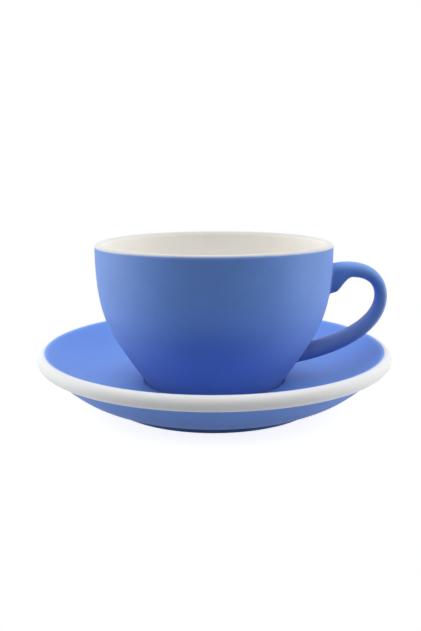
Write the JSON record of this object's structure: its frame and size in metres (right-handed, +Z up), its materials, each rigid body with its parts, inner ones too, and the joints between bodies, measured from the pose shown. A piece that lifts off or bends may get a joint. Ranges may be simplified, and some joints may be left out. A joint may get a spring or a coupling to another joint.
{
  "type": "coffee cup with saucer",
  "caption": "Round-bellied glazed ceramic coffee cup, white inside, with a loop handle, standing in the well of a matching saucer with a white rolled edge; the cup lifts off.",
  "frame": {"origin": "centre of the saucer's foot ring, on the surface that it stands on", "axes": "+Z up along the common axis of cup and saucer, +X towards the handle"},
  "size_m": [0.1498, 0.1498, 0.068],
  "materials": {
    "blue_glaze": "satin matte coloured glaze",
    "white_glaze": "glossy warm white glaze"
  },
  "bodies": {
    "saucer": {"saucer_dish": "blue_glaze", "saucer_white_rim": "white_glaze"},
    "cup": {"cup_bowl": "blue_glaze", "cup_white_lining": "white_glaze", "cup_handle": "blue_glaze"}
  },
  "joints": [
    {"name": "cup_lift", "type": "slide", "parent": "saucer", "child": "cup", "axis": [0, 0, 1], "range_m": [0, 0.1]}
  ]
}
